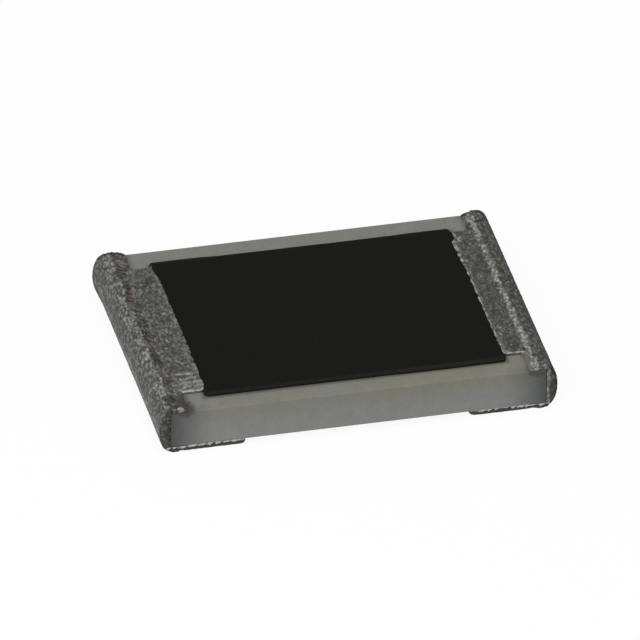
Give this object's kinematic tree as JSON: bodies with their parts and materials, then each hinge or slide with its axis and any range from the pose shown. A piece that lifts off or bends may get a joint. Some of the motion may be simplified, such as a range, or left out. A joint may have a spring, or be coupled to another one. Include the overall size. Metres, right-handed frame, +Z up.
{
  "type": "smd chip resistor",
  "caption": "Thick-film chip resistor, 4.5 x 3.2 mm, with printed electrodes, trimmed resistive film, glass, overcoat and plated ends as separate solids",
  "frame": {"origin": "middle of the footprint, on the plane that the two solder pads stand on", "axes": "+X along the chip from the left termination to the right one, +Y towards the long side that is at the back in the picture, +Z up, away from the board, on the overcoat's side"},
  "size_m": [0.0044, 0.0032, 0.0006],
  "materials": {
    "alumina": "matte",
    "silver_print": "satin",
    "silver_dip": "matte",
    "resistive_ink": "satin",
    "glass_print": "gloss",
    "overcoat_black": "matte",
    "nickel": "satin",
    "tin": "satin"
  },
  "bodies": {
    "root": {"ceramic_substrate": "alumina", "top_electrode_left": "silver_print", "top_electrode_right": "silver_print", "resistive_element": "resistive_ink", "glass_coat": "glass_print", "overcoat": "overcoat_black", "bottom_electrode_left": "silver_print", "bottom_electrode_right": "silver_print", "side_electrode_left": "silver_dip", "side_electrode_right": "silver_dip", "nickel_barrier_left": "nickel", "nickel_barrier_right": "nickel", "tin_plating_left": "tin", "tin_plating_right": "tin"}
  },
  "joints": []
}
